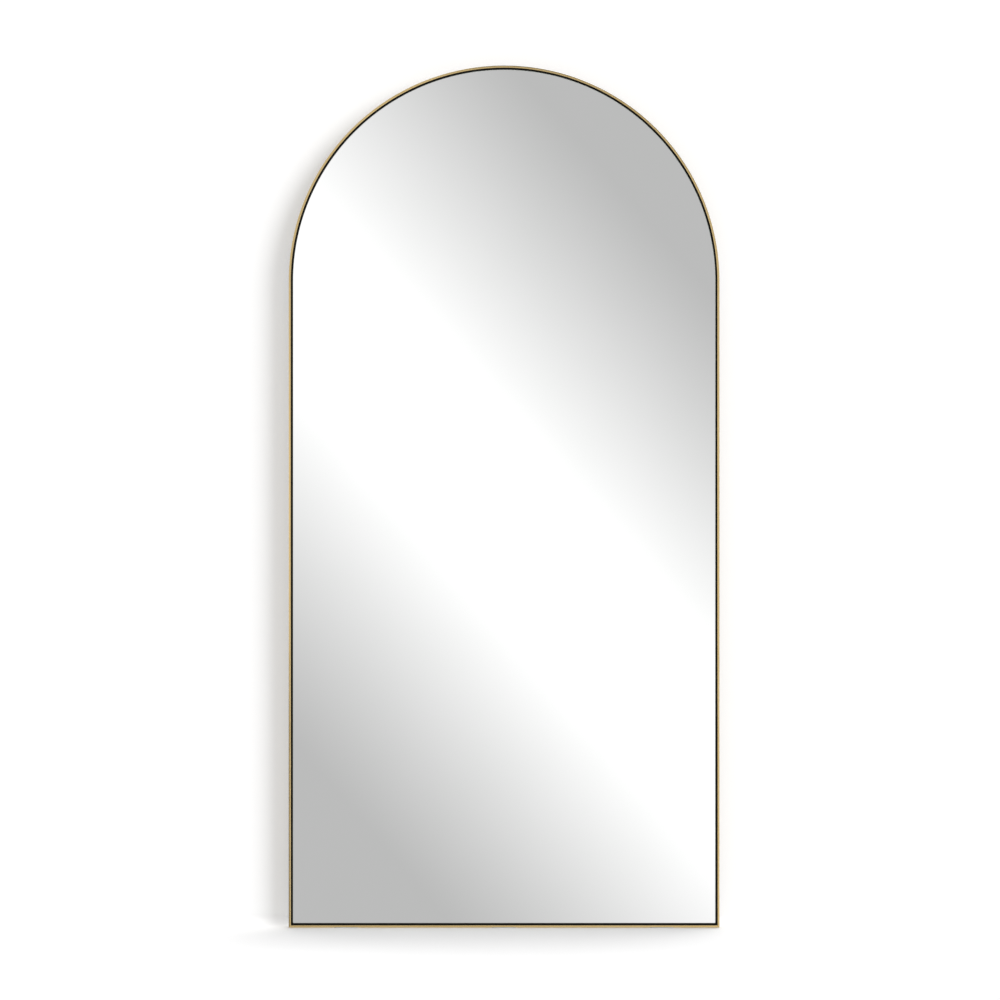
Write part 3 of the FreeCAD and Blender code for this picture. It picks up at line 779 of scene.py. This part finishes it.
# %% [markdown]
# The seal is extruded EPDM rubber: nearly black, matt, with a faint bloom. It has no grain to speak of,
# so a fine noise varies only its tone and roughness.

# %% Black rubber of the seal
bloom_size = 3 * mm

seal_rubber, tree, place = new_material("extruded_epdm_rubber")
bloom = add(tree, "TexNoise", {"Vector": place, "Scale": 1 / bloom_size, "Detail": 3.0})
colours = {0: bloom, 6: linear("#060505"), 7: linear("#100E0D")}
rubber = {
    "Base Color": add(tree, "Mix", colours, take=2, data_type="RGBA"),
    "Roughness": add(tree, "MapRange", {"Value": bloom, "To Min": 0.6, "To Max": 0.8}),
    "Specular IOR Level": 0.12,
    "Normal": add(tree, "Bump", {"Height": bloom, "Distance": 0.03 * mm, "Strength": 0.5}),
}
add(tree, "OutputMaterial", {"Surface": add(tree, "BsdfPrincipled", rubber)})
finish(seal_rubber, arch_gasket, bottom_gasket)

# %% [markdown]
# Silvered float glass is dead flat and nearly a perfect mirror. The silver lies behind 5 mm of clear
# glass, so it is a metal of nearly white with almost no roughness. A real one could be glass in front of
# silver, but the light's path through a sheet adds noise and nothing more to see.

# %% Mirror silver
haze_size = 220 * mm

silvered, tree, place = new_material("silvered_float_glass")
haze = add(tree, "TexNoise", {"Vector": place, "Scale": 1 / haze_size, "Detail": 3.0})
colours = {0: haze, 6: linear("#F2F3F2"), 7: linear("#F5F5F5")}
blur = {"Value": haze, "From Min": 0.4, "From Max": 0.7, "To Max": 0.012}
silver = {
    "Base Color": add(tree, "Mix", colours, take=2, data_type="RGBA"),
    "Metallic": 1.0,
    "Roughness": add(tree, "MapRange", blur),
}
add(tree, "OutputMaterial", {"Surface": add(tree, "BsdfPrincipled", silver)})

# %% [markdown]
# The arris and the edge of the glass are ground: pale, grey with a trace of green, and matt. The back is
# grey protective paint, with the orange peel of a curtain coat. The glass is one piece, so its faces are
# shared out between the three materials by the way they face.

# %% Ground edge and backing paint
grit_size = 0.6 * mm
peel_size = 1.5 * mm

ground_edge, tree, place = new_material("ground_glass_edge")
grinding = add(tree, "TexNoise", {"Vector": place, "Scale": 1 / grit_size, "Detail": 5.0})
colours = {0: grinding, 6: linear("#979F9A"), 7: linear("#BBC2BD")}
edge = {
    "Base Color": add(tree, "Mix", colours, take=2, data_type="RGBA"),
    "Roughness": add(tree, "MapRange", {"Value": grinding, "To Min": 0.4, "To Max": 0.6}),
    "IOR": 1.52,
    "Normal": add(tree, "Bump", {"Height": grinding, "Distance": 0.02 * mm}),
}
add(tree, "OutputMaterial", {"Surface": add(tree, "BsdfPrincipled", edge)})

back_paint, tree, place = new_material("mirror_backing_paint")
orange_peel = add(tree, "TexNoise", {"Vector": place, "Scale": 1 / peel_size, "Detail": 4.0})
colours = {0: orange_peel, 6: linear("#565B5C"), 7: linear("#62686A")}
paint = {
    "Base Color": add(tree, "Mix", colours, take=2, data_type="RGBA"),
    "Roughness": 0.45,
    "Normal": add(tree, "Bump", {"Height": orange_peel, "Distance": 0.02 * mm}),
}
add(tree, "OutputMaterial", {"Surface": add(tree, "BsdfPrincipled", paint)})

glass.data.materials.clear()
for material in (silvered, ground_edge, back_paint):
    glass.data.materials.append(material)
for face in glass.data.polygons:
    face.material_index = 0 if face.normal.y < -0.99 else 2 if face.normal.y > 0.99 else 1
print("glass faces:", [sum(f.material_index == i for f in glass.data.polygons) for i in range(3)])

# %% [markdown]
# The board behind the glass is 9 mm MDF faced with black paper. Seen close, the paper has a faint fleck
# and a fine tooth, and the sawn edge is brown; only the face shows, inside the flange.

# %% Black-faced board
fleck_size = 2.2 * mm
mottle_size = 90 * mm

faced_board, tree, place = new_material("black_paper_faced_mdf")
fibres = {"Vector": place, "Scale": 1 / fleck_size, "Detail": 6.0, "Roughness": 0.65}
fleck = add(tree, "TexNoise", fibres)
mottle = add(tree, "TexNoise", {"Vector": place, "Scale": 1 / mottle_size})
factor = add(tree, "MapRange", {"Value": fleck, "From Min": 0.45, "From Max": 0.75})
colours = {0: factor, 6: linear("#1B1A1A"), 7: linear("#2E2C2B")}
tone = add(tree, "Mix", colours, take=2, data_type="RGBA")
factor = add(tree, "MapRange", {"Value": mottle, "From Min": 0.4, "From Max": 0.7, "To Max": 0.4})
colours = {0: factor, 6: tone, 7: linear("#242221")}
paper = {
    "Base Color": add(tree, "Mix", colours, take=2, data_type="RGBA"),
    "Roughness": add(tree, "MapRange", {"Value": mottle, "To Min": 0.5, "To Max": 0.68}),
    "Specular IOR Level": 0.35,
    "Normal": add(tree, "Bump", {"Height": fleck, "Distance": 0.05 * mm, "Strength": 0.6}),
}
add(tree, "OutputMaterial", {"Surface": add(tree, "BsdfPrincipled", paper)})
finish(faced_board, frame["nodes"]["backing_board"])

# %% [markdown]
# The plates, straps and screws are zinc-plated steel: a cool grey, with faint clouds from the bath. The
# rings are bright nickel on drawn wire, warmer and smoother. All are metals, so their look is their
# colour and how rough they are.

# %% Plated steel
plating_pits = 0.8 * mm


def plated(name, dark, light, cloud_size, smooth, rough):
    """A plated metal with soft clouds in its tone and roughness."""
    material, tree, place = new_material(name)
    bath = {"Vector": place, "Scale": 1 / cloud_size, "Detail": 4.0, "Roughness": 0.6}
    cloud = add(tree, "TexNoise", bath)
    pits = add(tree, "TexNoise", {"Vector": place, "Scale": 1 / plating_pits, "Detail": 4.0})
    factor = add(tree, "MapRange", {"Value": cloud, **mid_noise})
    colours = {0: factor, 6: linear(dark), 7: linear(light)}
    metal = {
        "Base Color": add(tree, "Mix", colours, take=2, data_type="RGBA"),
        "Metallic": 1.0,
        "Roughness": add(tree, "MapRange", {"Value": cloud, **mid_noise, "To Min": smooth, "To Max": rough}),
        "Normal": add(tree, "Bump", {"Height": pits, "Distance": 0.01 * mm, "Strength": 0.5}),
    }
    add(tree, "OutputMaterial", {"Surface": add(tree, "BsdfPrincipled", metal)})
    return material


zinc_plate = plated("zinc_plated_pressed_steel", "#9EA3A6", "#C4C7C8", 9 * mm, 0.3, 0.48)
zinc_screw = plated("bright_zinc_plated_screw", "#B4B8BC", "#D3D6D8", 4 * mm, 0.2, 0.34)
nickel_wire = plated("nickel_plated_drawn_wire", "#B9B3A8", "#D2CDC3", 6 * mm, 0.12, 0.22)
finish(zinc_plate, corner_plate, right_corner_plate, splice_plate, right_splice_plate, hanger, right_hanger)
finish(zinc_screw, *screws)
finish(nickel_wire, ring, right_ring)

# %% [markdown]
# The bumpers are moulded black rubber, greyer and rougher than the seal, and the feet are clear silicone
# rubber, which doesn't mark a floor. The pieces that stay closed in behind the board get their own
# finishes too: grey polypropylene packers, white foam tape and the safety film on the glass's back.

# %% Mouldings, tape and film
def moulded(name, dark, light, grit, roughness, depth=0.02 * mm):
    """A moulded or foamed plastic: one tone, with the texture of its mould or its cells."""
    material, tree, place = new_material(name)
    cells = {"Vector": place, "Scale": 1 / grit, "Detail": 5.0, "Roughness": 0.6}
    texture = add(tree, "TexNoise", cells)
    colours = {0: texture, 6: linear(dark), 7: linear(light)}
    sheen = {"Value": texture, "To Min": roughness - 0.06, "To Max": roughness + 0.06}
    plastic = {
        "Base Color": add(tree, "Mix", colours, take=2, data_type="RGBA"),
        "Roughness": add(tree, "MapRange", sheen),
        "Specular IOR Level": 0.4,
        "Normal": add(tree, "Bump", {"Height": texture, "Distance": depth, "Strength": 0.6}),
    }
    add(tree, "OutputMaterial", {"Surface": add(tree, "BsdfPrincipled", plastic)})
    return material


nodes = frame["nodes"]
soft_rubber = moulded("moulded_black_rubber", "#19191A", "#2A2A2B", 0.9 * mm, 0.72)
silicone = moulded("moulded_clear_silicone", "#C4C3BD", "#D2D1CC", 1.5 * mm, 0.5)
packer = moulded("moulded_polypropylene", "#8C9092", "#A2A6A8", 1.2 * mm, 0.45)
foam = moulded("closed_cell_foam_tape", "#D9D6CC", "#EEECE4", 0.5 * mm, 0.85, depth=0.08 * mm)
film = moulded("polyethylene_safety_film", "#C9D2D6", "#DDE3E6", 40 * mm, 0.25)
finish(soft_rubber, *bumpers)
finish(silicone, *feet)
finish(packer, nodes["left_setting_block"], nodes["right_setting_block"])
finish(foam, *[nodes[name] for name in nodes if name.startswith("tape_strip")])
finish(film, nodes["safety_film"])

# %% [markdown]
# The photograph is a plain catalogue one: white floor, white background, soft light from high on the
# right, and a short soft shadow on the wall to the left and on the floor in front. The floor is a plane.
# The wall is another, whose lower edge is extruded forwards and bevelled into a cove, so that no line
# shows where the two meet. Both are white to the camera and still take a shadow: part of their white is
# the light that falls on them and part is their own glow, seen only by the camera. They have no back, so
# that they hide nothing from behind, and they neither light nor shade the mirror.

# %% Floor and wall
stage_size = 14.0
wall_gap = 26 * mm
cove_radius = 24 * mm
stage_albedo = 0.8
floor_glow = 0.08
wall_glow = 0.34

stage_white, tree, place = new_material("matt_white_stage")
height = add(tree, "SeparateXYZ", {0: place}, take="Z")
rise = {"Value": height, "From Max": cove_radius, "To Min": floor_glow, "To Max": wall_glow}
glow = add(tree, "MapRange", rise)
paths = [add(tree, "LightPath", take=f"Is {kind} Ray") for kind in ("Camera", "Glossy", "Transmission")]
seen = add(tree, "Math", {0: paths[0], 1: paths[1]}, operation="MAXIMUM")
seen = add(tree, "Math", {0: seen, 1: paths[2]}, operation="MAXIMUM")
strength = add(tree, "Math", {0: seen, 1: glow}, operation="MULTIPLY")
own_light = add(tree, "Emission", {"Strength": strength})
paint = add(tree, "BsdfDiffuse", {"Color": (stage_albedo, stage_albedo, stage_albedo, 1)})
white = add(tree, "AddShader", {0: paint, 1: own_light})
back = add(tree, "NewGeometry", take="Backfacing")
one_sided = add(tree, "MixShader", {0: back, 1: white, 2: add(tree, "BsdfTransparent")})
add(tree, "OutputMaterial", {"Surface": one_sided})

floor = start("plane", "floor", (0, 0, 0), size=stage_size)
middle = (0, wall_y + wall_gap, stage_size / 2)
back_wall = start("plane", "back_wall", middle, turn=(math.pi / 2, 0, 0), size=stage_size)
pick("EDGE", lambda m, e: near(m.z, 0))
extrude(y=-cove_radius)
pick("EDGE", lambda m, e: near(m.z, 0) and near(m.y, wall_y + wall_gap))
bpy.ops.mesh.bevel(offset=0.99 * cove_radius, segments=16, affect="EDGES")
bpy.ops.object.mode_set(mode="OBJECT")
bpy.ops.object.shade_smooth_by_angle(angle=math.radians(30))
finish(stage_white, floor, back_wall)
for plane in (floor, back_wall):
    plane.visible_glossy = plane.visible_diffuse = plane.visible_shadow = False
    biggest = max(plane.data.polygons, key=lambda face: face.area)
    print(plane.name, "faces", [round(c, 2) for c in biggest.normal])

# %% [markdown]
# Three suns with wide discs stand for the big softboxes: unlike an area lamp, they light the whole stage
# evenly, so the white stays white to its edge. The key comes from the right, above and in front, and
# throws the shadow on the wall. The top light stands a little behind the mirror and throws the short
# shadow on the floor. The third is weak and lights the back. Metal and glass don't see them: what they
# reflect is the world.

# %% Lamps
def softbox(name, azimuth, elevation, strength, width):
    """A soft sun at that bearing from the front, clockwise seen from above, and height, in degrees."""
    light = bpy.data.lights.new(name, "SUN")
    light.energy, light.angle = strength, math.radians(width)
    lamp = bpy.data.objects.new(name, light)
    a, e = math.radians(azimuth), math.radians(elevation)
    towards = Vector((math.sin(a) * math.cos(e), -math.cos(a) * math.cos(e), math.sin(e)))
    lamp.rotation_mode = "QUATERNION"
    lamp.rotation_quaternion = towards.to_track_quat("Z", "Y")
    lamp.location = 3 * towards
    lamp.visible_glossy = False
    bpy.context.collection.objects.link(lamp)
    print(f"{name}: {strength} at {azimuth} degrees round and {elevation} up, {width} wide")


softbox("key", 48, 19, 1.97, 34)
softbox("top", 142, 82.5, 1.6, 17)
softbox("back_fill", 215, 30, 0.3, 40)

# %% [markdown]
# What a mirror looks like is what it reflects. In the photograph the glass holds a soft white band from
# its upper left to its lower right, with pale grey on both sides, as from a strip light in a grey room.
# So for glossy rays the world is that room: bands that run aslant with darker gaps between, told by the
# direction alone, so they stay put when the camera moves. Round that, past the edges of what the glass
# sees, is what the gold picks up: a bright panel to the right, a low strip of light to the left over a
# dark gap, a dim ceiling and a white floor. The camera sees plain white, and diffuse light is even.

# %% The aslant bands
room_grey = 0.555
band_white = 1.16
band_slope = 0.88
band_spacing = 0.62
band_shift = 0.0045
band_half_white = 0.032
band_half_width = 0.146
band_falloff = 1.2
dark_gap = 0.215

world = bpy.data.worlds.new("studio")
bpy.context.scene.world = world
world.use_nodes = True
tree = world.node_tree
tree.nodes.clear()
direction = add(tree, "TexCoord", take="Generated")
across = add(tree, "SeparateXYZ", {0: direction}, take="X")
up = add(tree, "SeparateXYZ", {0: direction}, take="Z")
aslant = add(tree, "Math", {0: up, 1: band_slope, 2: across}, operation="MULTIPLY_ADD")
aslant = add(tree, "Math", {0: aslant, 1: band_shift}, operation="ADD")
away = add(tree, "Math", {0: aslant, 1: band_spacing / 2}, operation="PINGPONG")
soft_edge = {"From Min": band_half_white, "From Max": band_half_width, "To Min": 1.0, "To Max": 0.0}
band = add(tree, "MapRange", {"Value": away, **soft_edge})
band = add(tree, "Math", {0: band, 1: band_falloff}, operation="POWER")
bands = add(tree, "MapRange", {"Value": band, "To Min": room_grey, "To Max": band_white})
deeper = {"From Min": dark_gap, "From Max": band_spacing / 2, "To Min": 1.0, "To Max": 0.5}
gap = add(tree, "MapRange", {"Value": away, **deeper})
bands = add(tree, "Math", {0: bands, 1: gap}, operation="MULTIPLY")

# %% What the gold picks up
panel = {"From Min": 0.085, "From Max": 0.13, "To Min": 1.0, "To Max": 1.8}
panel_end = {"From Min": 0.3, "From Max": 0.45, "To Min": 1.0, "To Max": 0.6}
far_panel = {"From Min": 0.65, "From Max": 0.8, "To Min": 1.0, "To Max": 2.0}
ceiling = {"From Min": 0.16, "From Max": 0.24, "To Min": 1.0, "To Max": 0.5}
room = bands
for way, change in ((across, panel), (across, panel_end), (across, far_panel), (up, ceiling)):
    level = add(tree, "MapRange", {"Value": way, **change})
    room = add(tree, "Math", {0: room, 1: level}, operation="MULTIPLY")

strip_foot = {"From Min": -0.072, "From Max": -0.042, "To Min": 0.18, "To Max": 1.5}
strip_head = {"From Min": 0.0, "From Max": 0.07, "To Min": 1.0, "To Max": 0.6}
foot_level = add(tree, "MapRange", {"Value": up, **strip_foot})
head_level = add(tree, "MapRange", {"Value": up, **strip_head})
strip = add(tree, "Math", {0: foot_level, 1: head_level}, operation="MULTIPLY")
leftwards = add(tree, "MapRange", {"Value": across, "From Min": -0.082, "From Max": -0.12})
above_floor = add(tree, "MapRange", {"Value": up, "From Min": -0.21, "From Max": -0.16})
on_left = add(tree, "Math", {0: leftwards, 1: above_floor}, operation="MULTIPLY")
room = add(tree, "Mix", {0: on_left, 2: room, 3: strip}, data_type="FLOAT")
below = add(tree, "MapRange", {"Value": up, "From Min": -0.2, "From Max": -0.55})
room = add(tree, "Mix", {0: below, 2: room, 3: 0.95}, data_type="FLOAT")

# %% The world
ambient = 0.5

paths = [add(tree, "LightPath", take=f"Is {kind} Ray") for kind in ("Camera", "Glossy", "Transmission")]
seen = add(tree, "Math", {0: paths[0], 1: paths[2]}, operation="MAXIMUM")
level = add(tree, "Mix", {0: paths[1], 2: ambient, 3: room}, data_type="FLOAT")
level = add(tree, "Mix", {0: seen, 2: level, 3: 1.0}, data_type="FLOAT")
sky = add(tree, "Background", {"Color": (1, 1, 1, 1), "Strength": level})
add(tree, "OutputWorld", {"Surface": sky})
print("world:", len(tree.nodes), "nodes")

# %% [markdown]
# The photograph has no converging lines, so it was taken with a long lens from straight in front, at
# half the mirror's height. A 100 mm lens at 5.8 m gives the object the same size in the frame.

# %% Camera and view
camera_distance = 5.8
camera_right = -8.6 * mm
camera_height = 0.894

lens = bpy.data.cameras.new("camera")
lens.lens, lens.sensor_width = 100, 36
lens.clip_start, lens.clip_end = 0.1, 60
camera = bpy.data.objects.new("camera", lens)
camera.location = (camera_right, front_y - camera_distance, camera_height)
camera.rotation_euler = (math.pi / 2, 0, 0)
bpy.context.collection.objects.link(camera)
bpy.context.scene.camera = camera
bpy.context.scene.view_settings.view_transform = "Standard"
print("camera at", [round(c, 3) for c in camera.location])
